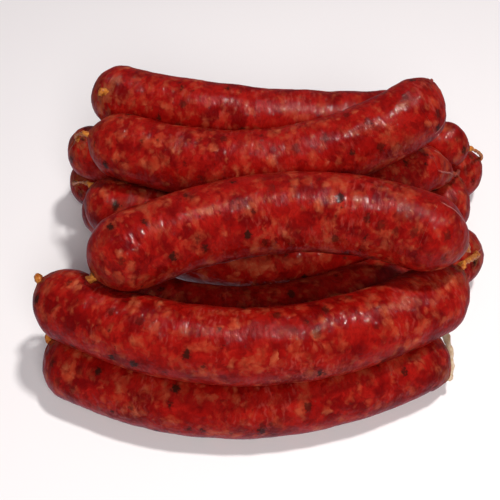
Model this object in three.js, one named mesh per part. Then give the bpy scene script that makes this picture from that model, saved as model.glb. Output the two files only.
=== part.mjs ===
// A string of ten raw sausage links, folded to and fro into a pile that lies on a flat surface.
// Neighbouring links are joined by short ropes of twisted casing, at the right and left in turn.
// Sizes are in millimetres: +X runs along the links, +Y is the back of the pile and +Z is up.

import * as THREE from 'three';
import { mergeVertices } from 'three/addons/utils/BufferGeometryUtils.js';

// The middle of the pile's footprint, which becomes the origin
const pileCentre = new THREE.Vector3(14.1, 56.8, 0);

// The skin of a link
const sidesRound = 22;
const ringsOnBody = 14;
const ringsOnEnd = 5;
const swellSharpness = 0.7;
const drawnWidth = Math.PI / 3;
const drawnSharpness = 1.3;
const contactGap = 0.6;
const contactRounding = 1.2;
const contactReach = 6;
const samplesAlongAxis = 60;

// The twisted casing
const ropeSides = 8;
const ropeRingSpacing = 3;
const ropeRadius = 1.5;
const ropeFlare = 0.6;
const ropeFlareLength = 3;
const ropeLobe = 0.22;
const ropeTwistLength = 16;
const ropeLead = 1.2;
const footGap = 0.4;
const freeEndLength = 2.4;

const skinColour = 0x92241f;
const casingColour = 0xc8923c;

// Each link runs from its left tip through its middle to its right tip, in the order of the string.
// endShares are the thicknesses near the left and right ends as shares of the thickest place, and
// middleAt says how far along the link its middle point lies, where that isn't halfway.
const links = [
  {
    left: [-73.7, 124.8, 70.4], middle: [24, 107.5, 66.7], middleAt: 0.6, right: [82, 115, 63.2],
    radius: 14.8, endShares: [1, 0.93],
  },
  {
    left: [-71, 95.3, 69.6], middle: [26, 80, 71.5], middleAt: 0.6, right: [83.5, 102, 87.3],
    radius: 15.6, endShares: [0.9, 0.91],
  },
  {
    left: [-88.6, 114.8, 43], middle: [7, 106, 38], right: [106.5, 120.8, 42],
    radius: 14, endShares: [0.92, 0.72],
  },
  {
    left: [-93, 122.2, 13], middle: [5, 116, 13.1], right: [120, 127.7, 13.8],
    radius: 14.2, endShares: [0.89, 1],
  },
  {
    left: [-76, 79, 44], middle: [2, 73, 43], right: [92, 103, 45.5],
    radius: 14.4, endShares: [0.9, 0.67],
  },
  {
    left: [-79.5, 101.5, 23], middle: [8, 67, 14], right: [107, 107, 18],
    radius: 15, endShares: [0.88, 0.96],
  },
  {
    left: [-71, 60, 15], middle: [5, 33, 14.5], right: [109.5, 77.5, 15.4],
    radius: 15.5, endShares: [0.85, 1.02],
  },
  {
    left: [-89, 28.6, 41.9], middle: [0, -2, 45], right: [90.8, 34.2, 37.8],
    radius: 16, endShares: [0.95, 0.98],
  },
  {
    left: [-89, 14, 15], middle: [-3, -10, 14.8], right: [86, 17.5, 15],
    radius: 15.8, endShares: [0.93, 0.93],
  },
  {
    left: [-64.3, 22, 66], middle: [15, 47, 72], right: [86, 27.8, 72.7],
    radius: 17, endShares: [0.97, 0.92],
  },
];

// Each join says at which side two links in a row are tied, which way the casing leaves each of
// them, how far their skin is drawn out there, and what points the casing passes between them.
// The thickness is a share of the usual one.
const joins = [
  { side: 'right', out: [[0.5, 0.45, 0.74], [0.5, 0.8, 0.33]], drawn: [1, 5.4], via: [], thickness: 0.6 },
  { side: 'left', out: [[-0.85, 0.5, -0.15], [-0.4, -0.23, 0.89]], drawn: [1.5, 1], via: [] },
  {
    side: 'right', out: [[0.99, -0.12, -0.1], [0.87, 0.38, 0.31]], drawn: [0.6, 0.6],
    via: [], thickness: 0.8,
  },
  { side: 'left', out: [[-0.5, -0.62, 0.6], [-0.69, 0.66, 0.27]], drawn: [1, 1], via: [] },
  { side: 'right', out: [[0.9, 0.15, -0.4], [0.43, 0.66, 0.62]], drawn: [7, 4], via: [], thickness: 0.7 },
  {
    side: 'left', out: [[-0.6, 0, -0.8], [-0.6, 0.75, -0.3]], drawn: [1, 1],
    via: [[-73, 86, 3.5], [-68, 75, 4]],
  },
  {
    side: 'right', out: [[0.5, -0.5, 0.7], [0.66, 0.58, 0.47]], drawn: [1, 3.5],
    via: [], thickness: 1.2,
  },
  {
    side: 'left', out: [[-0.77, 0.5, 0.4], [-0.7, 0.56, 0.45]], drawn: [1, 1],
    via: [[-89.3, 34.6, 37.5], [-86.5, 32, 27]],
  },
  {
    side: 'right', out: [[0.62, -0.59, -0.48], [0.91, -0.11, -0.4]], drawn: [1, 3],
    via: [[90.4, 9.5, 9.5], [91.4, 17.5, 15.5], [87.5, 23, 17], [88, 38, 16], [91, 50, 34], [93, 48, 52]],
  },
];

// The two ends of the string carry a short stub of casing
const freeEnds = [
  { link: 0, side: 'left', out: [-0.54, -0.31, 0.78], drawn: 1 },
  { link: 9, side: 'left', out: [-0.85, -0.44, -0.3], drawn: 1 },
];

function vector(numbers) {
  return new THREE.Vector3(...numbers);
}

// Which way the casing leaves a link at a side, and how far it is drawn out there
function tieOf(index, side) {
  const from = joins[index]?.side === side ? joins[index] : undefined;
  const to = joins[index - 1]?.side === side ? joins[index - 1] : undefined;
  const stub = freeEnds.find((freeEnd) => freeEnd.link === index && freeEnd.side === side);
  const out = from?.out[0] ?? to?.out[1] ?? stub.out;
  const drawn = from?.drawn[0] ?? to?.drawn[1] ?? stub.drawn;
  return { out: vector(out).normalize(), drawn };
}

// The centre line of a link, its skin's radius along it, and its two round ends
function layOutLink(link, index) {
  const left = vector(link.left);
  const right = vector(link.right);
  const bend = link.middleAt ?? 0.5;
  const control = vector(link.middle)
    .addScaledVector(left, -((1 - bend) ** 2))
    .addScaledVector(right, -(bend ** 2))
    .divideScalar(2 * bend * (1 - bend));
  const curve = new THREE.QuadraticBezierCurve3(left, control, right);
  const length = curve.getLength();
  const [leftShare, rightShare] = link.endShares;

  function radiusAt(along) {
    const share = THREE.MathUtils.lerp(leftShare, rightShare, along / length);
    const swell = Math.sin(Math.PI * along / length) ** swellSharpness;
    return link.radius * (share + (1 - share) * swell);
  }

  function layOutEnd(side) {
    const reach = link.radius * (side === 'left' ? leftShare : rightShare);
    const along = side === 'left' ? reach : length - reach;
    const outward = curve.getTangentAt(along / length);
    if (side === 'left') {
      outward.negate();
    }
    const centre = curve.getPointAt(along / length);
    return { along, centre, outward, length: reach, radius: radiusAt(along), ...tieOf(index, side) };
  }

  return { curve, length, radiusAt, left: layOutEnd('left'), right: layOutEnd('right') };
}

// How far the skin of a round end is from its centre, drawn out towards the twist
function endReach(end, direction) {
  const lengthwise = direction.dot(end.outward);
  const crosswise = Math.sqrt(Math.max(0, 1 - lengthwise ** 2));
  const round = 1 / Math.hypot(lengthwise / end.length, crosswise / end.radius);
  const nearness = Math.max(0, 1 - direction.angleTo(end.out) / drawnWidth);
  return round + end.drawn * nearness ** drawnSharpness;
}

// Balls along a link's centre line, which stand for it where a neighbour presses on it
function ballsOf(laid) {
  return Array.from({ length: samplesAlongAxis + 1 }, (_, index) => {
    const along = THREE.MathUtils.lerp(laid.left.along, laid.right.along, index / samplesAlongAxis);
    return { centre: laid.curve.getPointAt(along / laid.length), radius: laid.radiusAt(along) };
  });
}

function smoothMinimum(first, second, rounding) {
  const blend = Math.max(rounding - Math.abs(first - second), 0) / rounding;
  return Math.min(first, second) - blend * blend * rounding / 4;
}

// How far the skin may stand from a point of the centre line before it meets a neighbour or the floor
function pressedDistance(anchor, anchorRadius, direction, freeDistance, neighbours) {
  let distance = freeDistance;
  const toBall = new THREE.Vector3();
  for (const balls of neighbours) {
    let limit = Infinity;
    for (const ball of balls) {
      toBall.subVectors(ball.centre, anchor);
      const apart = toBall.length();
      const facing = direction.dot(toBall) / apart;
      if (apart > anchorRadius + ball.radius + contactReach || facing <= 0) {
        continue;
      }
      const meeting = (apart ** 2 + anchorRadius ** 2 - ball.radius ** 2) / (2 * apart);
      limit = Math.min(limit, (meeting - contactGap / 2) / facing);
    }
    if (limit < freeDistance + contactReach) {
      distance = smoothMinimum(distance, limit, contactRounding);
    }
  }
  if (direction.z < 0) {
    distance = Math.min(distance, anchor.z / -direction.z);
  }
  return distance;
}

// Half profile of a straight link, from one tip to the other, for turning on a lathe
function linkProfile(laid) {
  const profile = [];
  for (let ring = 0; ring < ringsOnEnd; ring += 1) {
    const angle = Math.PI / 2 * ring / ringsOnEnd;
    const along = laid.left.length * (1 - Math.cos(angle));
    profile.push(new THREE.Vector2(laid.left.radius * Math.sin(angle), along));
  }
  for (let ring = 0; ring <= ringsOnBody; ring += 1) {
    const along = THREE.MathUtils.lerp(laid.left.along, laid.right.along, ring / ringsOnBody);
    profile.push(new THREE.Vector2(laid.radiusAt(along), along));
  }
  for (let ring = ringsOnEnd - 1; ring >= 0; ring -= 1) {
    const angle = Math.PI / 2 * ring / ringsOnEnd;
    const along = laid.length - laid.right.length * (1 - Math.cos(angle));
    profile.push(new THREE.Vector2(laid.right.radius * Math.sin(angle), along));
  }
  return profile;
}

// Sides of the curve's section: one points up as far as it can, the other lies level
function sectionFrame(curve, share) {
  const tangent = curve.getTangentAt(share);
  const up = new THREE.Vector3(0, 0, 1).addScaledVector(tangent, -tangent.z).normalize();
  return { tangent, up, level: new THREE.Vector3().crossVectors(up, tangent) };
}

// A skin point as an anchor on the centre line and a direction and distance from it
function skinPoint(laid, lathed) {
  const along = lathed.y;
  const anchorAlong = THREE.MathUtils.clamp(along, laid.left.along, laid.right.along);
  const anchorShare = anchorAlong / laid.length;
  const { tangent, up, level } = sectionFrame(laid.curve, anchorShare);
  const direction = new THREE.Vector3()
    .addScaledVector(up, lathed.x)
    .addScaledVector(level, lathed.z)
    .addScaledVector(tangent, along - anchorAlong)
    .normalize();
  const end = [laid.left, laid.right].find((side) => side.along === anchorAlong);
  return { anchor: laid.curve.getPointAt(anchorShare), radius: laid.radiusAt(anchorAlong), direction, end };
}

// The skin point of an end that is nearest to the twist moves onto it
function meetTwist(points, end) {
  const ofEnd = points.filter((point) => point.end === end);
  const nearest = ofEnd.reduce((best, point) => (
    point.direction.dot(end.out) > best.direction.dot(end.out) ? point : best
  ));
  nearest.direction.copy(end.out);
}

// A lathed link bent along its centre line, with flats where its neighbours and the floor press on it
function linkGeometry(laid, neighbours) {
  const geometry = closeSeams(new THREE.LatheGeometry(linkProfile(laid), sidesRound));
  const position = geometry.attributes.position;
  const points = Array.from({ length: position.count }, (_, index) => (
    skinPoint(laid, new THREE.Vector3().fromBufferAttribute(position, index))
  ));
  meetTwist(points, laid.left);
  meetTwist(points, laid.right);
  points.forEach(({ anchor, radius, direction, end }, index) => {
    const freeDistance = end ? endReach(end, direction) : radius;
    const distance = pressedDistance(anchor, radius, direction, freeDistance, neighbours);
    const point = anchor.addScaledVector(direction, distance);
    position.setXYZ(index, point.x, point.y, point.z);
  });
  return geometry;
}

function closeSeams(geometry) {
  geometry.deleteAttribute('normal');
  geometry.deleteAttribute('uv');
  return mergeVertices(geometry);
}

// Where the casing leaves a link's round end
function footOn(end) {
  return end.centre.clone().addScaledVector(end.out, endReach(end, end.out) + footGap);
}

// A rope of twisted casing along a path: two lobes that turn as they go, flared where it meets a link
function ropeGeometry(path, flaredAtEnd, thickness) {
  const length = path.getLength();
  const rings = Math.ceil(length / ropeRingSpacing);
  const frames = path.computeFrenetFrames(rings, false);
  const geometry = new THREE.CylinderGeometry(1, 1, 1, ropeSides, rings);
  const position = geometry.attributes.position;
  for (let index = 0; index < position.count; index += 1) {
    const across = Math.hypot(position.getX(index), position.getZ(index));
    const angle = Math.atan2(position.getZ(index), position.getX(index));
    const share = 0.5 - position.getY(index);
    const ring = Math.round(share * rings);
    const fromFoot = flaredAtEnd ? Math.min(share, 1 - share) * length : share * length;
    const flare = ropeFlare * Math.max(0, 1 - fromFoot / ropeFlareLength);
    const turned = angle + 2 * Math.PI * share * length / ropeTwistLength;
    const radius = across * (ropeRadius * thickness + flare) * (1 + ropeLobe * Math.cos(2 * angle));
    const point = path.getPointAt(ring / rings)
      .addScaledVector(frames.normals[ring], radius * Math.cos(turned))
      .addScaledVector(frames.binormals[ring], radius * Math.sin(turned));
    position.setXYZ(index, point.x, point.y, point.z);
  }
  return closeSeams(geometry);
}

// The casing from a link to the next one in the string
function joinGeometry(join, from, to) {
  const start = footOn(from);
  const end = footOn(to);
  const path = new THREE.CatmullRomCurve3([
    start,
    start.clone().addScaledVector(from.out, ropeLead),
    ...join.via.map(vector),
    end.clone().addScaledVector(to.out, ropeLead),
    end,
  ]);
  return ropeGeometry(path, true, join.thickness ?? 1);
}

function freeEndGeometry(end) {
  const start = footOn(end);
  const path = new THREE.LineCurve3(start, start.clone().addScaledVector(end.out, freeEndLength));
  return ropeGeometry(path, false, 1);
}

function skinMaterial() {
  return new THREE.MeshStandardMaterial({ color: skinColour, roughness: 0.3, metalness: 0 });
}

function casingMaterial() {
  return new THREE.MeshStandardMaterial({ color: casingColour, roughness: 0.4, metalness: 0 });
}

function addPiece(group, name, geometry, material) {
  const mesh = new THREE.Mesh(geometry, material);
  mesh.name = name;
  group.add(mesh);
}

function twoDigits(number) {
  return String(number).padStart(2, '0');
}

function sausageString() {
  const group = new THREE.Group();
  const laidLinks = links.map(layOutLink);
  const balls = laidLinks.map(ballsOf);
  laidLinks.forEach((laid, index) => {
    const neighbours = balls.filter((_, other) => other !== index);
    addPiece(group, `link_${twoDigits(index + 1)}`, linkGeometry(laid, neighbours), skinMaterial());
  });
  joins.forEach((join, index) => {
    const geometry = joinGeometry(join, laidLinks[index][join.side], laidLinks[index + 1][join.side]);
    addPiece(group, `twist_${twoDigits(index + 1)}`, geometry, casingMaterial());
  });
  freeEnds.forEach((freeEnd, index) => {
    const geometry = freeEndGeometry(laidLinks[freeEnd.link][freeEnd.side]);
    addPiece(group, `free_end_${twoDigits(index + 1)}`, geometry, casingMaterial());
  });
  group.position.copy(pileCentre).negate();
  return group;
}

export default sausageString();
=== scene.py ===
import math

import bpy
import numpy as np
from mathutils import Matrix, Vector, noise


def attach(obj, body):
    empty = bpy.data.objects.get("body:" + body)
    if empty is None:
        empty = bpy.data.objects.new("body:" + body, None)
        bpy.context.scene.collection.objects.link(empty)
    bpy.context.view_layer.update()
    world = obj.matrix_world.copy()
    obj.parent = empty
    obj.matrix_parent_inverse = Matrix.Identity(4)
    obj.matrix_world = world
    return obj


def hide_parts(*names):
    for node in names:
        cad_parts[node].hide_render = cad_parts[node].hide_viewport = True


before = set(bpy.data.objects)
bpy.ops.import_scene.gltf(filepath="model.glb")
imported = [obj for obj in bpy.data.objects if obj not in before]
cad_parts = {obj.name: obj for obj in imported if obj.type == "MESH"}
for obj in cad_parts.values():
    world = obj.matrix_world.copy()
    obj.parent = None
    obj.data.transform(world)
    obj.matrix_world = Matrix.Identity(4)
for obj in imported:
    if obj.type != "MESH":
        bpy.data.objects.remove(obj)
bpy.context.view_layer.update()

# The looks of a folded string of raw sausage links: coarse red meat and pale fat under a thin
# moist casing, tied end to end by short ropes of twisted casing.
# Lengths in the tables are in millimetres. The links lie where they lie in the part's source, and so
# do their ties, apart from a few that follow the photograph more closely here.

MM = 0.001
WHOLE_TURN = 2 * math.pi
PILE_CENTRE = np.array([14.1, 56.8, 0.0])

# Driving values of a link's mesh
SIDES_ROUND = 80
BODY_STEP = 1.8
END_RINGS = 26
END_CROWDING = 0.85
LAST_RING = 0.985
AXIS_SAMPLES = 60
LINE_POINTS = 801
TANGENT_REACH = 0.5
SIDES = ("left", "right")
CONTACT_GAP = 0.2
CONTACT_ROUNDING = 2.2
CONTACT_REACH = 6.0
LEAST_FACING = 0.02
SWELL_SHARPNESS = 0.7
DRAWN_WIDTH = math.pi / 3
DRAWN_SHARPNESS = 1.3

# Relief of the skin, as heights and lengths; it fades where the skin is pressed
LUMP_HEIGHTS = ((0.5, 17.0), (0.26, 7.0), (0.12, 3.2))
LUMP_STRETCH = 1.25
LUMP_SHIFT = (31.7, 11.3, 5.9)
FREE_SKIN = 0.5
NECK_HEIGHT = 0.9
NECK_WIDTH = 2.2
PUCKER_HEIGHT = 0.4
PUCKER_REACH = 8.0
PUCKER_FOLDS = 11
PUCKER_ANGLE = 1.4
WANDER_RADIUS = 2.0
WANDER_DRIFT = 0.12
FOLD_WANDER = 5.0
FOLD_DEPTH = 0.6
FOLD_DEPTH_CHANGE = 0.8
GATHER_REACH = 10.0

# Driving values of the twisted casing
ROPE_SIDES = 16
ROPE_STEP = 0.5
ROPE_RADIUS = 1.5
ROPE_LEAD = 1.2
ROPE_SUNK = 1.2
ROPE_FLARE = 0.6
ROPE_FLARE_LENGTH = 2.6
ROPE_TWIST_LENGTH = 13.0
ROPE_CRUMPLE = 0.3
ROPE_CRUMPLE_SIZE = 1.6
ROPE_SWELL = 0.7
ROPE_SWELL_SIZE = 3.0
ROPE_LOBES = ((2, 0.2), (5, 0.08))
ROPE_LOWEST = 0.05
PATH_POINTS = 40
FEWEST_STEPS = 4
FIRST_ASIDE = (0.31, 0.22, 0.92)
FREE_END_LENGTH = 2.6
FREE_END_SEED = 20.0
FOOT_GAP = 0.4

# Each link runs from its left tip through its middle to its right tip, in the order of the string.
# end_shares are the thicknesses near the left and right ends as shares of the thickest place.
LINKS = [
    {"left": (-73.7, 124.8, 70.4), "middle": (24, 107.5, 66.7), "middle_at": 0.6, "right": (82, 115, 63.2),
     "radius": 14.8, "end_shares": (1, 0.93)},
    {"left": (-71, 95.3, 69.6), "middle": (26, 80, 71.5), "middle_at": 0.6, "right": (83.5, 102, 87.3),
     "radius": 15.6, "end_shares": (0.9, 0.91)},
    {"left": (-88.6, 114.8, 43), "middle": (7, 106, 38), "right": (106.5, 120.8, 42),
     "radius": 14, "end_shares": (0.92, 0.72)},
    {"left": (-93, 122.2, 13), "middle": (5, 116, 13.1), "right": (120, 127.7, 13.8),
     "radius": 14.2, "end_shares": (0.89, 1)},
    {"left": (-76, 79, 44), "middle": (2, 73, 43), "right": (92, 103, 45.5),
     "radius": 14.4, "end_shares": (0.9, 0.67)},
    {"left": (-79.5, 101.5, 23), "middle": (8, 67, 14), "right": (107, 107, 18),
     "radius": 15, "end_shares": (0.88, 0.96)},
    {"left": (-71, 60, 15), "middle": (5, 33, 14.5), "right": (109.5, 77.5, 15.4),
     "radius": 15.5, "end_shares": (0.85, 1.02)},
    {"left": (-89, 28.6, 41.9), "middle": (0, -2, 45), "right": (90.8, 34.2, 37.8),
     "radius": 16, "end_shares": (0.95, 0.98)},
    {"left": (-89, 14, 15), "middle": (-3, -10, 14.8), "right": (86, 17.5, 15),
     "radius": 15.8, "end_shares": (0.93, 0.93)},
    {"left": (-64.3, 22, 66), "middle": (15, 47, 72), "right": (86, 27.8, 72.7),
     "radius": 17, "end_shares": (0.97, 0.92)},
]

# Each join ties a link to the next one: at which side, which way the casing leaves each of them,
# how far their skin is drawn out there and what points the casing passes. Some are slimmer, flatter,
# less crumpled or less flared than usual, thinner halfway (pinch), leave the link at once (lead) or
# have a lower neck.
JOINS = [
    {"side": "right", "out": ((0.5, 0.45, 0.74), (0.5, 0.8, 0.33)), "drawn": (1, 4), "via": (),
     "thickness": 0.5, "neck": 0.1, "lead": 0.1, "flare": 0.1},
    {"side": "left", "out": ((-0.92, 0.12, 0.33), (-0.4, -0.23, 0.89)), "drawn": (1.2, 1), "via": (),
     "thickness": 0.75, "pinch": 0.6},
    {"side": "right", "out": ((0.99, -0.12, -0.1), (0.87, 0.38, 0.31)), "drawn": (0.6, 0.6), "via": (),
     "thickness": 0.5},
    {"side": "left", "out": ((-0.5, -0.62, 0.6), (-0.69, 0.66, 0.27)), "drawn": (1, 1), "via": (),
     "thickness": 0.7, "pinch": 0.6},
    {"side": "right", "out": ((0.9, 0.15, -0.4), (0.43, 0.66, 0.62)), "drawn": (6, 4), "via": (),
     "thickness": 0.5, "neck": 0.4},
    {"side": "left", "out": ((-0.6, 0, -0.8), (-0.6, 0.75, -0.3)), "drawn": (1, 1),
     "via": ((-73, 86, 3.5), (-68, 75, 4))},
    {"side": "right", "out": ((0.5, -0.5, 0.7), (0.66, 0.58, 0.47)), "drawn": (1, 3.5), "via": (),
     "thickness": 0.75},
    {"side": "left", "out": ((-0.77, 0.5, 0.4), (-0.7, 0.56, 0.45)), "drawn": (1, 1),
     "via": ((-89.3, 34.6, 37.5), (-86.5, 32, 27))},
    {"side": "right", "out": ((0.88, -0.36, -0.3), (0.91, -0.11, -0.4)), "drawn": (1, 3),
     "via": ((89, 14.5, 14.2), (87.6, 20.5, 18), (88, 38, 16), (91, 50, 34), (93, 48, 52)),
     "thickness": 0.8, "flatness": 0.4, "crumple": 0.15, "lead": 0.4, "flare": 0.2},
]

# Thin folds of casing that run from a link's tie over its end: each lies in the plane through the
# end's middle and two directions, or in the plane with the given normal at an offset. Here and
# below, links are counted from 0.
SEAMS = [
    {"link": 9, "side": "right", "normal": (0.542, 0.752, 0.374), "offset": 10.6},
    {"link": 4, "side": "right", "normal": (0.4, 0.8, 0.45), "offset": 7.4},
    {"link": 4, "side": "right", "through": (0.3, -0.65, 0.55)},
    {"link": 5, "side": "right", "through": (-0.1, 0.24, 0.96)},
    {"link": 5, "side": "right", "through": (0.95, -0.1, 0.3)},
    {"link": 1, "side": "right", "through": (0.98, 0.03, 0.28)},
    {"link": 6, "side": "right", "through": (0.9, 0.3, 0.3)},
    {"link": 2, "side": "left", "through": (-0.6, -0.3, 0.75)},
]
FAR_FROM_SEAM = 9.0
LEAST_AHEAD = 0.05
SEAMS_PER_LINK = 3

# The two ends of the string carry a short stub of casing
FREE_ENDS = [
    {"link": 0, "side": "left", "out": (-0.43, -0.566, 0.7), "drawn": 1},
    {"link": 9, "side": "left", "out": (-0.83, -0.48, -0.34), "drawn": 1},
]

# Colours of the filling
LEAN_DEEP = (0.05, 0.0005, 0.0005, 1)
LEAN_DARK = (0.14, 0.001, 0.001, 1)
LEAN = (0.255, 0.0035, 0.002, 1)
LEAN_BRIGHT = (0.335, 0.008, 0.0045, 1)
PINK_STREAK = (0.44, 0.075, 0.055, 1)
FAT_ORANGE = (0.44, 0.055, 0.02, 1)
FAT_PALE = (0.51, 0.115, 0.046, 1)
SEAM = (0.50, 0.20, 0.17, 1)
HERB = (0.026, 0.006, 0.003, 1)
GATHERED = (0.26, 0.085, 0.03, 1)

# Places in the filling are moved to and fro by noise of a size, by an amount, in millimetres
LOOSE = {"size": 9.0, "amount": 5.5}
RAGGED = {"size": 2.0, "amount": 2.4}
STREAK_WAVER = {"size": 3.0, "amount": 2.0}
HERB_WAVER = {"size": 1.3, "amount": 3.6}
FOLD_WAVER = {"size": 3.0, "amount": 4.0}
ACROSS_LINK = (1.15, 0.85, 0.85)
SMALL_FAT_STRETCH = (1.1, 0.9, 0.9)
STREAK_STRETCH = (1.0, 0.32, 0.32)
HERB_STRETCH = (1.05, 0.75, 0.75)
GRAIN_STRETCH = (1.4, 0.7, 0.7)
FOLD_STRETCH = (1.3, 0.6, 0.6)
OTHER_PLACE = (211.0, 97.0, 43.0)
NEXT_LINK_PLACE = (137.0, 53.0, 71.0)

# Patches of the filling: their size in millimetres, the noise values where they start and are full,
# and how strongly they cover what lies below
LEAN_FIELD = {"size": 15.0, "start": 0.36, "full": 0.56}
BRIGHT_LEAN = {"size": 7.0, "start": 0.44, "full": 0.62, "cover": 0.8}
DARK_LEAN = {"size": 5.0, "start": 0.53, "full": 0.67, "cover": 0.6, "shift": (61.0, 17.0, 23.0)}
MOTTLE = {"size": 1.6, "start": 0.42, "full": 0.62, "cover": 0.22, "shift": (5.0, 37.0, 83.0)}
FAT_PATCHES = {"size": 6.4, "start": 0.5, "full": 0.7, "cover": 0.36, "shift": (7.0, 71.0, 5.0)}
FAT_HUES = {"size": 4.0, "start": 0.42, "full": 0.6}
STREAKED_PARTS = {"size": 24.0, "start": 0.5, "full": 0.62}
GATHERED_PATCHES = {"size": 3.2, "start": 0.42, "full": 0.6, "cover": 0.5}
SEAM_PARTS = {"size": 6.0, "start": 0.36, "full": 0.5}

# Fields: the size of their waves in millimetres, the noise values between which they change, and
# the values that they change from and to
FAT_CROWD = {"size": 13.0, "between": (0.4, 0.64), "values": (0.06, 0.66)}
STREAKS = {"size": 1.4, "between": (0.5, 0.7), "values": (0, 1)}
SEAM_WAVER = {"size": 4.0, "between": (0, 1), "values": (-0.5, 0.5)}
WET_PATCHES = {"size": 10.0, "between": (0.42, 0.6), "values": (0.3, 1.8)}

# Bits: the size of their cells in millimetres, and their widest radius and the softness of their
# edge as shares of it; a chance of 1 puts a bit in each cell
LARGE_FAT = {"size": 5.8, "widest": 0.43, "softness": 0.27}
SMALL_FAT = {"size": 3.0, "widest": 0.44, "softness": 0.3}
HERB_HALOS = {"size": 7.0, "widest": 0.36, "softness": 0.17}
HERB_FLECKS = {"size": 7.0, "widest": 0.235, "softness": 0.07}
HERB_SPECKS = {"size": 4.5, "widest": 0.2, "softness": 0.06, "shift": (19.0, 31.0, 47.0)}
FLECK_CHANCE = 0.8
SPECK_CHANCE = 0.22
NARROWEST_BIT = 0.35
WIDEST_LUCK = 1.6
FAINTEST_BIT = 0.4

# How strongly the rest covers what lies below
STREAK_COVER = 0.35
SMALL_FAT_COVER = 0.45
LARGE_FAT_COVER = 0.76
HALO_COVER = 0.6
HERB_COVER = 0.95
SEAM_COVER = 0.5
SEAM_HALF_WIDTHS = (0.14, 0.5)

# Relief that only the light shows: depths in metres, sizes in millimetres, and the heights of the
# other features as shares of the grain's
BODY_RELIEF = 0.0007
COAT_RELIEF = 0.0005
GRAIN_SIZE = 3.0
CRINKLE_SIZE = 1.5
SMALL_FAT_RELIEF = 0.6
FAT_RELIEF = 0.3
SEAM_RELIEF = 0.5

# Casing without filling: sizes, depth and heights in metres
CASING_FOLD_SIZE = 0.0018
CASING_GRAIN_SIZE = 0.0008
CASING_RELIEF = 0.0003
CASING_FOLD_EDGES = (0.38, 0.6)
LOW_CASING_HEIGHTS = (0.022, 0.034)
YELLOW_CASING = ((0.33, 0.08, 0.012, 1), (0.58, 0.21, 0.035, 1))
RED_CASING = ((0.20, 0.02, 0.012, 1), (0.36, 0.07, 0.035, 1))
STRAND_CASING = ((0.30, 0.08, 0.02, 1), (0.55, 0.22, 0.06, 1))
LOW_STRAND_CASING = ((0.50, 0.36, 0.22, 1), (0.60, 0.48, 0.34, 1))
RED_JOINS = (0, 4)

# Camera: the photograph's frame is 500 pixels wide
FRAME_PIXELS = 500
SENSOR_WIDTH = 36.0
FOCAL_PIXELS = 923.0
CAMERA_ELEVATION = math.radians(51)
CAMERA_DISTANCE = 420.0
CAMERA_TARGET = np.array([0.0, 56.0, 36.0])

# Stage, in metres and watts
FLOOR_SIZE = 12.0
ROOM_COLOUR = (0.96, 0.74, 0.9, 1)
ROOM_LIGHT = 0.10
TABLE_LIGHT = 0.5
TABLE_STARTS = -0.35
TABLE_FULL = -0.8


def unit(vectors):
    vectors = np.asarray(vectors, float)
    return vectors / np.linalg.norm(vectors, axis=-1, keepdims=True)


def smooth_minimum(first, second, rounding):
    blend = np.maximum(rounding - np.abs(first - second), 0) / rounding
    return np.minimum(first, second) - blend ** 2 * rounding / 4


class Laid:
    """A link's centre line, its skin's radius along it and its two round ends."""

    def __init__(self, link, ties):
        left, middle, right = (np.array(link[key], float) for key in ("left", "middle", "right"))
        bend = link.get("middle_at", 0.5)
        control = (middle - (1 - bend) ** 2 * left - bend ** 2 * right) / (2 * bend * (1 - bend))
        share = np.linspace(0, 1, LINE_POINTS)[:, None]
        self.points = (1 - share) ** 2 * left + 2 * share * (1 - share) * control + share ** 2 * right
        steps = np.linalg.norm(np.diff(self.points, axis=0), axis=1)
        self.alongs = np.concatenate([[0], np.cumsum(steps)])
        self.length = self.alongs[-1]
        self.radius = link["radius"]
        self.shares = link["end_shares"]
        self.ties = ties
        self.end_lengths = {"left": self.radius * self.shares[0], "right": self.radius * self.shares[1]}
        self.end_radii = {side: float(self.radius_at(self.end_along(side))) for side in SIDES}

    def at(self, along):
        return np.stack([np.interp(along, self.alongs, self.points[:, axis]) for axis in range(3)], axis=-1)

    def tangent(self, along):
        along = np.asarray(along)
        return unit(self.at(along + TANGENT_REACH) - self.at(along - TANGENT_REACH))

    def radius_at(self, along):
        run = np.asarray(along) / self.length
        share = self.shares[0] + (self.shares[1] - self.shares[0]) * run
        return self.radius * (share + (1 - share) * np.sin(np.pi * run) ** SWELL_SHARPNESS)

    def end_along(self, side):
        return self.end_lengths["left"] if side == "left" else self.length - self.end_lengths["right"]

    def outward(self, side):
        tangent = self.tangent(self.end_along(side))
        return -tangent if side == "left" else tangent

    def end_reach(self, side, directions):
        """How far a round end's skin is from its centre in each direction, drawn out to its tie."""
        lengthwise = directions @ self.outward(side)
        crosswise = np.sqrt(np.maximum(0, 1 - lengthwise ** 2))
        bulge = 1 / np.hypot(lengthwise / self.end_lengths[side], crosswise / self.end_radii[side])
        out, drawn, _ = self.ties[side]
        angles = np.arccos(np.clip(directions @ out, -1, 1))
        return bulge + drawn * np.maximum(0, 1 - angles / DRAWN_WIDTH) ** DRAWN_SHARPNESS

    def section(self, along):
        """Sides of the section: one points up as far as it can, the other lies level."""
        tangent = self.tangent(along)
        up = unit(np.array([0, 0, 1.0]) - tangent[..., 2:3] * tangent)
        return tangent, up, np.cross(up, tangent)

    def balls(self):
        """Balls along the centre line, which stand for the link where a neighbour presses on it."""
        alongs = np.linspace(self.end_along("left"), self.end_along("right"), AXIS_SAMPLES + 1)
        return self.at(alongs), self.radius_at(alongs)


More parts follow.
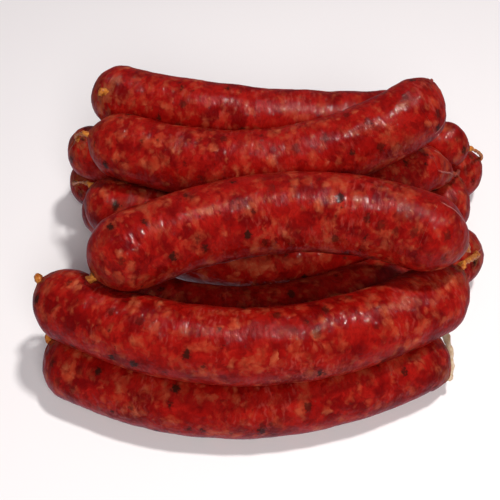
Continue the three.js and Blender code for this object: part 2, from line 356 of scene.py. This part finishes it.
def pressed_distance(anchors, anchor_radii, directions, free, neighbours):
    """How far the skin may stand from the centre line before it meets a neighbour or the floor."""
    distance = free.copy()
    for centres, radii in neighbours:
        to_ball = centres[None] - anchors[:, None]
        apart = np.linalg.norm(to_ball, axis=2)
        facing = np.einsum("nk,nbk->nb", directions, to_ball) / apart
        meeting = (apart ** 2 + anchor_radii[:, None] ** 2 - radii[None] ** 2) / (2 * apart)
        close = (apart < anchor_radii[:, None] + radii[None] + CONTACT_REACH) & (facing > LEAST_FACING)
        limits = np.where(close, (meeting - CONTACT_GAP / 2) / np.maximum(facing, LEAST_FACING), np.inf)
        limit = limits.min(axis=1)
        near = limit < free + CONTACT_REACH
        distance[near] = smooth_minimum(distance[near], limit[near], CONTACT_ROUNDING)
    down = directions[:, 2] < -LEAST_FACING
    distance[down] = np.minimum(distance[down], anchors[down, 2] / -directions[down, 2])
    return distance


def ties_of(index):
    """Where the casing leaves a link, how far its skin is drawn out there and its neck, for each side."""
    found = {}
    for number, join in enumerate(JOINS):
        for turn in (0, 1):
            if number + turn == index:
                found[join["side"]] = (unit(join["out"][turn]), join["drawn"][turn], join.get("neck", 1.0))
    for free_end in FREE_ENDS:
        if free_end["link"] == index:
            found[free_end["side"]] = (unit(free_end["out"]), free_end["drawn"], 1.0)
    return found


def slerp(start, end, share):
    angle = np.arccos(np.clip(np.sum(start * end, axis=-1, keepdims=True), -1, 1))
    return (np.sin((1 - share) * angle) * start + np.sin(share * angle) * end) / np.sin(angle)


def lumps(places, seed):
    """Unevenness of the filling: noise of several sizes at places in the straightened link."""
    shift = Vector([step * seed for step in LUMP_SHIFT])
    heights = np.zeros(len(places))
    for row, place in enumerate(places):
        spot = Vector((place[0] * LUMP_STRETCH, place[1], place[2]))
        for height, length in LUMP_HEIGHTS:
            heights[row] += height * noise.noise(spot / length + shift)
    return heights


def pucker(angles, rounds, radius, necks, seed):
    """The neck and the folds of the casing where it gathers at the twist."""
    apart = angles * radius
    neck = NECK_HEIGHT * necks * np.exp(-(apart / NECK_WIDTH) ** 2)
    wander = np.zeros(len(apart))
    for row, (turn, away) in enumerate(zip(rounds, apart)):
        across, upward = math.cos(turn) * WANDER_RADIUS, math.sin(turn) * WANDER_RADIUS
        wander[row] = noise.noise(Vector((across, upward, seed + away * WANDER_DRIFT)))
    folds = np.cos(PUCKER_FOLDS * rounds + FOLD_WANDER * wander)
    folds *= FOLD_DEPTH + FOLD_DEPTH_CHANGE * wander
    rise = 1 - np.exp(-(apart / NECK_WIDTH) ** 2)
    return neck + PUCKER_HEIGHT * folds * np.exp(-(apart / PUCKER_REACH) ** 2) * rise


def link_rings(laid):
    """Rings of skin points from the left pole to the right one, each as anchor, direction and reach."""
    turns = np.linspace(0, WHOLE_TURN, SIDES_ROUND, endpoint=False)
    rings = []

    def end_ring(side, share):
        along = laid.end_along(side)
        _, up, level = laid.section(along)
        rim = np.sin(turns)[:, None] * up + np.cos(turns)[:, None] * level
        pole = laid.ties[side][0]
        directions = slerp(rim, np.broadcast_to(pole, rim.shape), share)
        angles = np.arccos(np.clip(directions @ pole, -1, 1))
        return {"along": along, "directions": directions, "reach": laid.end_reach(side, directions),
                "angles": angles, "side": side}

    shares = (np.arange(1, END_RINGS + 1) / END_RINGS) ** END_CROWDING * LAST_RING
    for share in shares[::-1]:
        rings.append(end_ring("left", share))
    first, last = laid.end_along("left"), laid.end_along("right")
    count = int(round((last - first) / BODY_STEP))
    for along in np.linspace(first, last, count + 1):
        _, up, level = laid.section(along)
        directions = np.sin(turns)[:, None] * up + np.cos(turns)[:, None] * level
        reach = np.full(SIDES_ROUND, float(laid.radius_at(along)))
        far = np.full(SIDES_ROUND, math.pi)
        rings.append({"along": along, "directions": directions, "reach": reach, "angles": far, "side": None})
    for share in shares:
        rings.append(end_ring("right", share))
    return rings, turns


def grid_faces(ring_count, sides):
    """Quads between rings, and a fan of triangles at each end round one middle point."""
    faces = []
    for ring in range(ring_count - 1):
        for side in range(sides):
            here = ring * sides + side
            beside = ring * sides + (side + 1) % sides
            faces.append((here, beside, beside + sides, here + sides))
    first = ring_count * sides
    last = first + 1
    top = (ring_count - 1) * sides
    for side in range(sides):
        beside = (side + 1) % sides
        faces.append((first, beside, side))
        faces.append((last, top + side, top + beside))
    return faces


def mesh_object(name, points, faces, material):
    mesh = bpy.data.meshes.new(name)
    mesh.from_pydata([tuple(point) for point in (points - PILE_CENTRE) * MM], [], faces)
    mesh.polygons.foreach_set("use_smooth", [True] * len(mesh.polygons))
    mesh.materials.append(material)
    mesh.update()
    piece = bpy.data.objects.new(name, mesh)
    bpy.context.scene.collection.objects.link(piece)
    return piece


def store_vectors(piece, name, vectors):
    attribute = piece.data.attributes.new(name, "FLOAT_VECTOR", "POINT")
    attribute.data.foreach_set("vector", np.asarray(vectors, np.float32).ravel())


def store_values(piece, name, values):
    attribute = piece.data.attributes.new(name, "FLOAT", "POINT")
    attribute.data.foreach_set("value", np.asarray(values, np.float32).ravel())


def seam_distances(index, laid, rings):
    """How far each skin point lies beside each casing fold of its end, as up to three numbers."""
    found = np.full((len(rings), SIDES_ROUND, SEAMS_PER_LINK), FAR_FROM_SEAM)
    own = [seam for seam in SEAMS if seam["link"] == index]
    for channel, seam in enumerate(own[:SEAMS_PER_LINK]):
        pole = laid.ties[seam["side"]][0]
        for row, ring in enumerate(rings):
            if ring["side"] != seam["side"]:
                continue
            points = ring["directions"] * ring["reach"][:, None]
            if "normal" in seam:
                beside = points @ unit(seam["normal"]) - seam["offset"]
                found[row, :, channel] = beside
            else:
                ahead = unit(seam["through"])
                beside = points @ unit(np.cross(pole, ahead))
                on_side = ring["directions"] @ ahead > LEAST_AHEAD
                found[row, :, channel] = np.where(on_side, beside, FAR_FROM_SEAM)
    return found.reshape(-1, SEAMS_PER_LINK)


def make_link(index, laid, neighbours, material):
    rings, turns = link_rings(laid)
    anchors = np.repeat([laid.at(ring["along"]) for ring in rings], SIDES_ROUND, axis=0)
    radii = np.repeat([float(laid.radius_at(ring["along"])) for ring in rings], SIDES_ROUND)
    directions = np.concatenate([ring["directions"] for ring in rings])
    reach = np.concatenate([ring["reach"] for ring in rings])
    angles = np.concatenate([ring["angles"] for ring in rings])
    rounds = np.tile(turns, len(rings))
    distance = pressed_distance(anchors, radii, directions, reach, neighbours)
    free = np.clip(1 - (reach - distance) / FREE_SKIN, 0, 1)

    frames = [laid.section(ring["along"]) for ring in rings]
    tangent, up, level = (np.repeat([row[axis] for row in frames], SIDES_ROUND, axis=0) for axis in range(3))
    alongs = np.repeat([ring["along"] for ring in rings], SIDES_ROUND)
    offsets = directions * reach[:, None]
    places = np.stack([
        alongs + np.sum(offsets * tangent, axis=1),
        np.sum(offsets * up, axis=1),
        np.sum(offsets * level, axis=1),
    ], axis=1)

    relief = lumps(places, index + 1)
    at_end = angles < PUCKER_ANGLE
    necks = np.repeat([laid.ties[ring["side"] or "left"][2] for ring in rings], SIDES_ROUND)
    relief[at_end] += pucker(angles[at_end], rounds[at_end], laid.radius, necks[at_end], 3.0 * index)
    points = anchors + directions * (distance + relief * free)[:, None]
    points[:, 2] = np.maximum(points[:, 2], 0)
    ring_ends = np.stack([points[:SIDES_ROUND].mean(axis=0), points[-SIDES_ROUND:].mean(axis=0)])
    place_ends = np.stack([places[:SIDES_ROUND].mean(axis=0), places[-SIDES_ROUND:].mean(axis=0)])
    gather = np.exp(-(angles * laid.radius / GATHER_REACH) ** 2)

    piece = mesh_object(f"sausage_{index + 1:02d}", np.concatenate([points, ring_ends]),
                        grid_faces(len(rings), SIDES_ROUND), material)
    shift = np.array(NEXT_LINK_PLACE) * index
    store_vectors(piece, "skin_place", np.concatenate([places, place_ends]) + shift)
    store_values(piece, "gather", np.concatenate([gather, [1, 1]]))
    seams = seam_distances(index, laid, rings)
    store_vectors(piece, "seams", np.concatenate([seams, np.full((2, SEAMS_PER_LINK), FAR_FROM_SEAM)]))
    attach(piece, "root")
    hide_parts(f"link_{index + 1:02d}")


def foot_on(laid, side):
    """Where the casing leaves a link's round end, and which way."""
    out = laid.ties[side][0]
    reach = laid.end_reach(side, out[None])[0]
    return laid.at(laid.end_along(side)) + out * (reach + FOOT_GAP), out


def smooth_path(knots, step):
    """A centripetal curve through the knots, as evenly spaced points."""
    knots = np.array(knots, float)
    knots = np.concatenate([[2 * knots[0] - knots[1]], knots, [2 * knots[-1] - knots[-2]]])
    fine = []
    for before, start, end, after in zip(knots[:-3], knots[1:-2], knots[2:-1], knots[3:]):
        gaps = (start - before, end - start, after - end)
        lead, span, trail = (np.linalg.norm(gap) ** 0.5 for gap in gaps)
        ahead = (end - start) / span
        leave = ((start - before) / lead - (end - before) / (lead + span) + ahead) * span
        arrive = (ahead - (after - start) / (span + trail) + (after - end) / trail) * span
        share = np.linspace(0, 1, PATH_POINTS, endpoint=False)[:, None]
        fine.append(start + leave * share + (-3 * start + 3 * end - 2 * leave - arrive) * share ** 2
                    + (2 * start - 2 * end + leave + arrive) * share ** 3)
    fine = np.concatenate(fine + [knots[-2:-1]])
    alongs = np.concatenate([[0], np.cumsum(np.linalg.norm(np.diff(fine, axis=0), axis=1))])
    count = max(int(round(alongs[-1] / step)), FEWEST_STEPS)
    evenly = np.linspace(0, alongs[-1], count + 1)
    return np.stack([np.interp(evenly, alongs, fine[:, axis]) for axis in range(3)], axis=1), evenly


def carried_frames(points):
    """A pair of side directions along a path that turn no more than the path does."""
    tangents = unit(np.gradient(points, axis=0))
    side = unit(np.cross(tangents[0], FIRST_ASIDE))
    sides = []
    for tangent in tangents:
        side = unit(side - tangent * (side @ tangent))
        sides.append(side)
    sides = np.array(sides)
    return sides, np.cross(tangents, sides)


def make_rope(name, node, knots, material, seed, shape, flare_at_end=True):
    """Twisted casing along a path: two uneven lobes that turn as they go, crumpled all over."""
    thickness = shape.get("thickness", 1.0)
    flatness = shape.get("flatness", 0.0)
    pinch = shape.get("pinch", 0.0)
    crumpled = ROPE_CRUMPLE * shape.get("crumple", 1.0)
    widest_flare = ROPE_FLARE * shape.get("flare", 1.0)
    points, alongs = smooth_path(knots, ROPE_STEP)
    sides, binormals = carried_frames(points)
    turns = np.linspace(0, WHOLE_TURN, ROPE_SIDES, endpoint=False)
    length = alongs[-1]
    rows = []
    for along, point, side, binormal in zip(alongs, points, sides, binormals):
        from_foot = min(along, length - along) if flare_at_end else along
        flare = widest_flare * math.exp(-(from_foot / ROPE_FLARE_LENGTH) ** 2)
        turned = WHOLE_TURN * along / ROPE_TWIST_LENGTH
        swell = 1 + ROPE_SWELL * crumpled * noise.noise(Vector((along / ROPE_SWELL_SIZE, seed, 0.5)))
        swell *= 1 - pinch * math.sin(math.pi * along / length) ** 2
        ring = []
        for turn in turns:
            lobe = 1 + ROPE_LOBES[0][1] * math.cos(ROPE_LOBES[0][0] * turn)
            lobe += ROPE_LOBES[1][1] * math.cos(ROPE_LOBES[1][0] * turn + seed)
            spot = Vector((along / ROPE_CRUMPLE_SIZE, seed + math.cos(turn), math.sin(turn)))
            crumple = 1 + crumpled * noise.noise(spot)
            radius = (ROPE_RADIUS * thickness * swell + flare) * lobe * crumple
            wide = radius * math.cos(turn + turned) * (1 + flatness)
            thin = radius * math.sin(turn + turned) * (1 - flatness)
            ring.append(point + side * wide + binormal * thin)
        rows.append(ring)
    skin = np.array(rows).reshape(-1, 3)
    skin = np.concatenate([skin, points[:1], points[-1:]])
    skin[:, 2] = np.maximum(skin[:, 2], ROPE_LOWEST)
    piece = mesh_object(name, skin, grid_faces(len(rows), ROPE_SIDES), material)
    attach(piece, "root")
    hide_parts(node)


def make_join(index, laid_links, material):
    join = JOINS[index]
    start, out_from = foot_on(laid_links[index], join["side"])
    end, out_to = foot_on(laid_links[index + 1], join["side"])
    lead = join.get("lead", ROPE_LEAD)
    knots = [start - out_from * ROPE_SUNK, start + out_from * lead, *join["via"],
             end + out_to * lead, end - out_to * ROPE_SUNK]
    number = f"{index + 1:02d}"
    make_rope(f"casing_twist_{number}", f"twist_{number}", knots, material, index + 1.0, join)


def make_free_end(index, laid_links, material):
    free_end = FREE_ENDS[index]
    start, out = foot_on(laid_links[free_end["link"]], free_end["side"])
    knots = [start - out * ROPE_SUNK, start + out * FREE_END_LENGTH * 0.5, start + out * FREE_END_LENGTH]
    number = f"{index + 1:02d}"
    seed = FREE_END_SEED + index
    make_rope(f"casing_end_{number}", f"free_end_{number}", knots, material, seed, {}, flare_at_end=False)


class Nodes:
    """A material's node tree, with one short call for each kind of node."""

    def __init__(self, name):
        self.material = bpy.data.materials.new(name)
        self.material.use_nodes = True
        self.tree = self.material.node_tree
        self.shader = self.tree.nodes["Principled BSDF"]

    def add(self, kind, inputs=None, **settings):
        node = self.tree.nodes.new(kind)
        for key, value in settings.items():
            setattr(node, key, value)
        for key, value in (inputs or {}).items():
            self.feed(node.inputs[key], value)
        return node

    def feed(self, socket, value):
        if isinstance(value, bpy.types.NodeSocket):
            self.tree.links.new(value, socket)
        else:
            socket.default_value = value

    def shade(self, **inputs):
        for key, value in inputs.items():
            self.feed(self.shader.inputs[key.replace("_", " ").title().replace("Ior", "IOR")], value)

    def vector(self, operation, first, second):
        return self.add("ShaderNodeVectorMath", {0: first, 1: second}, operation=operation).outputs[0]

    def scaled(self, place, factors):
        return self.vector("MULTIPLY", place, factors)

    def maths(self, operation, first, second=0.0):
        return self.add("ShaderNodeMath", {0: first, 1: second}, operation=operation).outputs[0]

    def noise(self, place, size, detail=2.0, roughness=0.5):
        inputs = {"Vector": place, "Scale": 1 / size, "Detail": detail, "Roughness": roughness}
        return self.add("ShaderNodeTexNoise", inputs)

    def cells(self, place, size):
        return self.add("ShaderNodeTexVoronoi", {"Vector": place, "Scale": 1 / size}, feature="F1")

    def step(self, value, low, high, to_low=0.0, to_high=1.0):
        inputs = {"Value": value, "From Min": low, "From Max": high, "To Min": to_low, "To Max": to_high}
        return self.add("ShaderNodeMapRange", inputs, interpolation_type="SMOOTHSTEP").outputs["Result"]

    def mix(self, share, first, second):
        node = self.add("ShaderNodeMix", data_type="RGBA", blend_type="MIX")
        self.feed(node.inputs["Factor"], share)
        self.feed(node.inputs[6], first)
        self.feed(node.inputs[7], second)
        return node.outputs[2]

    def bump(self, height, depth, strength=1.0, normal=None):
        inputs = {"Height": height, "Distance": depth, "Strength": strength}
        if normal is not None:
            inputs["Normal"] = normal
        return self.add("ShaderNodeBump", inputs).outputs["Normal"]


def wavered(nodes, place, waver):
    """The place moved to and fro by noise, which makes the shapes that follow irregular."""
    colour = nodes.noise(place, waver["size"]).outputs["Color"]
    centred = nodes.vector("SUBTRACT", colour, (0.5, 0.5, 0.5))
    return nodes.vector("ADD", place, nodes.scaled(centred, (waver["amount"],) * 3))


def shifted(nodes, place, pattern):
    """The place where a pattern is read, so that patterns of one kind don't fall together."""
    return nodes.vector("ADD", place, pattern["shift"]) if "shift" in pattern else place


def bits(nodes, place, pattern, chance):
    """Soft-edged bits in some cells of a pattern, each of its own width; chance is a number or a field."""
    softness = pattern["softness"]
    cell = nodes.cells(shifted(nodes, place, pattern), pattern["size"])
    random = nodes.add("ShaderNodeSeparateColor", {"Color": cell.outputs["Color"]})
    luck = nodes.maths("ADD", random.outputs["Red"], chance)
    width = nodes.maths("MULTIPLY", nodes.step(luck, 1, WIDEST_LUCK, NARROWEST_BIT, 1), pattern["widest"])
    mask = nodes.step(nodes.maths("SUBTRACT", width, cell.outputs["Distance"]), -softness, softness)
    strength = nodes.step(random.outputs["Green"], 0, 1, FAINTEST_BIT, 1)
    present = nodes.maths("GREATER_THAN", luck, 1)
    return nodes.maths("MULTIPLY", nodes.maths("MULTIPLY", mask, strength), present)


def islands(nodes, place, pattern):
    """Irregular patches where a noise is high."""
    waves = nodes.noise(shifted(nodes, place, pattern), pattern["size"], 3.0, 0.55).outputs["Fac"]
    return nodes.step(waves, pattern["start"], pattern["full"])


def field(nodes, place, waves):
    """A value that drifts from one place to another."""
    height = nodes.noise(place, waves["size"]).outputs["Fac"]
    return nodes.step(height, *waves["between"], *waves["values"])


def covered(nodes, colour, mask, cover, paint):
    """The colour with paint over it where the mask is, as strongly as the cover says."""
    return nodes.mix(nodes.maths("MULTIPLY", mask, cover), colour, paint)


def seam_line(nodes, place):
    """One along the thin casing folds and nothing elsewhere."""
    waver = field(nodes, place, SEAM_WAVER)
    seams = nodes.add("ShaderNodeAttribute", attribute_name="seams").outputs["Vector"]
    each = nodes.add("ShaderNodeSeparateXYZ", {"Vector": seams})
    line = 0.0
    for axis in "XYZ":
        beside = nodes.maths("ABSOLUTE", nodes.maths("ADD", each.outputs[axis], waver))
        line = nodes.maths("MAXIMUM", line, nodes.step(beside, *SEAM_HALF_WIDTHS, 1, 0))
    return nodes.maths("MULTIPLY", line, islands(nodes, place, SEAM_PARTS))


def lean_colour(nodes, place, across):
    """Lean meat in patches of many reds."""
    colour = nodes.mix(islands(nodes, place, LEAN_FIELD), LEAN_DARK, LEAN)
    for pattern, paint in ((BRIGHT_LEAN, LEAN_BRIGHT), (DARK_LEAN, LEAN_DARK), (MOTTLE, LEAN_DEEP)):
        colour = covered(nodes, colour, islands(nodes, across, pattern), pattern["cover"], paint)
    return colour


def with_fat(nodes, colour, place, ragged, across, far):
    """Fat in clusters of large and small bits, and pink streaks across the link; also the bits alone."""
    crowd = field(nodes, far, FAT_CROWD)
    large = bits(nodes, across, LARGE_FAT, crowd)
    small = bits(nodes, nodes.scaled(ragged, SMALL_FAT_STRETCH), SMALL_FAT, crowd)
    streaky = nodes.scaled(wavered(nodes, place, STREAK_WAVER), STREAK_STRETCH)
    streaks = nodes.maths("MULTIPLY", field(nodes, streaky, STREAKS), islands(nodes, far, STREAKED_PARTS))
    colour = covered(nodes, colour, streaks, STREAK_COVER, PINK_STREAK)

    fat = nodes.mix(islands(nodes, far, FAT_HUES), FAT_ORANGE, FAT_PALE)
    colour = covered(nodes, colour, islands(nodes, across, FAT_PATCHES), FAT_PATCHES["cover"], fat)
    colour = covered(nodes, colour, small, SMALL_FAT_COVER, fat)
    colour = covered(nodes, colour, large, LARGE_FAT_COVER, fat)
    return colour, nodes.maths("MAXIMUM", large, nodes.maths("MULTIPLY", small, SMALL_FAT_RELIEF))


def with_herbs(nodes, colour, place):
    """Dark flecks of herb, each in a darker halo, and smaller specks."""
    herbs = nodes.scaled(wavered(nodes, place, HERB_WAVER), HERB_STRETCH)
    halos = bits(nodes, herbs, HERB_HALOS, FLECK_CHANCE)
    flecks = bits(nodes, herbs, HERB_FLECKS, FLECK_CHANCE)
    specks = bits(nodes, herbs, HERB_SPECKS, SPECK_CHANCE)
    colour = covered(nodes, colour, halos, HALO_COVER, LEAN_DARK)
    return covered(nodes, colour, nodes.maths("MAXIMUM", flecks, specks), HERB_COVER, HERB)


def meat_colour(nodes, place, gather):
    """The filling as it shows through the casing, and the height of its bits of fat."""
    ragged = wavered(nodes, wavered(nodes, place, LOOSE), RAGGED)
    across = nodes.scaled(ragged, ACROSS_LINK)
    far = nodes.vector("ADD", place, OTHER_PLACE)
    colour = lean_colour(nodes, place, across)
    colour, fat = with_fat(nodes, colour, place, ragged, across, far)
    colour = with_herbs(nodes, colour, place)
    gathered = nodes.maths("MULTIPLY", gather, islands(nodes, far, GATHERED_PATCHES))
    return covered(nodes, colour, gathered, GATHERED_PATCHES["cover"], GATHERED), fat


def sausage_material():
    """Coarse meat under a thin, moist casing."""
    nodes = Nodes("raw_sausage")
    place = nodes.add("ShaderNodeAttribute", attribute_name="skin_place").outputs["Vector"]
    gather = nodes.add("ShaderNodeAttribute", attribute_name="gather").outputs["Fac"]
    colour, fat = meat_colour(nodes, place, gather)
    seam = seam_line(nodes, place)

    grain = nodes.noise(nodes.scaled(place, GRAIN_STRETCH), GRAIN_SIZE, 2.0, 0.45).outputs["Fac"]
    folds = nodes.scaled(wavered(nodes, place, FOLD_WAVER), FOLD_STRETCH)
    crinkle = nodes.noise(folds, CRINKLE_SIZE, 2.0, 0.5).outputs["Fac"]
    crinkle = nodes.maths("MULTIPLY", crinkle, field(nodes, place, WET_PATCHES))
    relief = nodes.maths("ADD", nodes.maths("MULTIPLY", fat, FAT_RELIEF), grain)
    relief = nodes.maths("ADD", relief, nodes.maths("MULTIPLY", seam, SEAM_RELIEF))
    body_normal = nodes.bump(relief, BODY_RELIEF, 0.9)
    nodes.shade(
        base_color=covered(nodes, colour, seam, SEAM_COVER, SEAM),
        roughness=0.42,
        normal=body_normal,
        specular_ior_level=0.05,
        subsurface_weight=0.08,
        subsurface_radius=(1.0, 0.2, 0.1),
        subsurface_scale=0.002,
        coat_weight=0.34,
        coat_roughness=0.03,
        coat_normal=nodes.bump(crinkle, COAT_RELIEF, 1.0, body_normal),
    )
    return nodes.material


def casing_material(name, shades, low_shades=None):
    """Crumpled casing in two shades; low_shades are those of the part that lies near the floor."""
    nodes = Nodes(name)
    place = nodes.add("ShaderNodeTexCoord").outputs["Object"]
    fold = nodes.step(nodes.noise(place, CASING_FOLD_SIZE, 4.0, 0.6).outputs["Fac"], *CASING_FOLD_EDGES)
    colour = nodes.mix(fold, *shades)
    if low_shades:
        height = nodes.add("ShaderNodeSeparateXYZ", {"Vector": place}).outputs["Z"]
        raised = nodes.step(height, *LOW_CASING_HEIGHTS)
        colour = nodes.mix(raised, nodes.mix(fold, *low_shades), colour)
    grain = nodes.noise(place, CASING_GRAIN_SIZE, 3.0).outputs["Fac"]
    nodes.shade(
        base_color=colour,
        roughness=0.4,
        normal=nodes.bump(grain, CASING_RELIEF, 0.8),
        specular_ior_level=0.25,
        subsurface_weight=0.25,
        subsurface_radius=(1.0, 0.5, 0.25),
        subsurface_scale=0.0015,
        coat_weight=0.35,
        coat_roughness=0.2,
    )
    return nodes.material


def make_floor():
    half = FLOOR_SIZE / 2
    corners = [(-half, -half, 0), (half, -half, 0), (half, half, 0), (-half, half, 0)]
    mesh = bpy.data.meshes.new("floor")
    mesh.from_pydata(corners, [], [(0, 1, 2, 3)])
    floor = bpy.data.objects.new("floor", mesh)
    bpy.context.scene.collection.objects.link(floor)
    nodes = Nodes("pale_floor")
    nodes.shade(base_color=(0.93, 0.93, 0.94, 1), roughness=0.6)
    mesh.materials.append(nodes.material)
    floor.visible_glossy = False


def aim(thing, target):
    thing.rotation_euler = (Vector(target) - thing.location).to_track_quat("-Z", "Y").to_euler()


def make_camera():
    backward = np.array([0, -math.cos(CAMERA_ELEVATION), math.sin(CAMERA_ELEVATION)])
    target = (CAMERA_TARGET - PILE_CENTRE) * MM
    data = bpy.data.cameras.new("camera")
    data.sensor_width = SENSOR_WIDTH
    data.lens = FOCAL_PIXELS / FRAME_PIXELS * SENSOR_WIDTH
    data.clip_start = 0.01
    camera = bpy.data.objects.new("camera", data)
    bpy.context.scene.collection.objects.link(camera)
    camera.location = target + backward * CAMERA_DISTANCE * MM
    aim(camera, target)
    bpy.context.scene.camera = camera


def make_light(name, place, size, power, colour=(1, 1, 1), mirrored=True):
    data = bpy.data.lights.new(name, "AREA")
    data.shape = "DISK"
    data.size = size
    data.energy = power
    data.color = colour
    light = bpy.data.objects.new(name, data)
    bpy.context.scene.collection.objects.link(light)
    light.location = place
    light.visible_glossy = mirrored
    aim(light, (0, 0, 0.03))


def make_world():
    """A dim room that is brighter below, where the wet casing mirrors the table."""
    world = bpy.data.worlds.new("soft_room")
    world.use_nodes = True
    tree = world.node_tree
    background = tree.nodes["Background"]
    direction = tree.nodes.new("ShaderNodeTexCoord").outputs["Generated"]
    height = tree.nodes.new("ShaderNodeSeparateXYZ")
    ramp = tree.nodes.new("ShaderNodeMapRange")
    ramp.interpolation_type = "SMOOTHSTEP"
    tree.links.new(direction, height.inputs["Vector"])
    tree.links.new(height.outputs["Z"], ramp.inputs["Value"])
    ramp.inputs["From Min"].default_value = TABLE_STARTS
    ramp.inputs["From Max"].default_value = TABLE_FULL
    ramp.inputs["To Min"].default_value = ROOM_LIGHT
    ramp.inputs["To Max"].default_value = TABLE_LIGHT
    tree.links.new(ramp.outputs["Result"], background.inputs["Strength"])
    background.inputs["Color"].default_value = ROOM_COLOUR
    bpy.context.scene.world = world


def make_lights():
    make_world()
    make_light("overhead", (0.22, 0.06, 1.05), 0.1, 7.0, (1.0, 0.95, 0.92))
    make_light("front_fill", (0.1, -0.85, 0.95), 0.7, 10.2, (1.0, 0.97, 0.95), mirrored=False)


def make_string():
    laid_links = [Laid(link, ties_of(index)) for index, link in enumerate(LINKS)]
    balls = [laid.balls() for laid in laid_links]
    meat = sausage_material()
    yellow = casing_material("yellow_casing", YELLOW_CASING)
    red = casing_material("red_casing", RED_CASING)
    strand = casing_material("strand_casing", STRAND_CASING, LOW_STRAND_CASING)
    materials = dict.fromkeys(RED_JOINS, red)
    materials[len(JOINS) - 1] = strand
    for index, laid in enumerate(laid_links):
        make_link(index, laid, balls[:index] + balls[index + 1:], meat)
    for index in range(len(JOINS)):
        make_join(index, laid_links, materials.get(index, yellow))
    for index in range(len(FREE_ENDS)):
        make_free_end(index, laid_links, yellow)


bpy.context.scene.view_settings.view_transform = "Standard"
make_camera()
make_lights()
make_floor()
make_string()
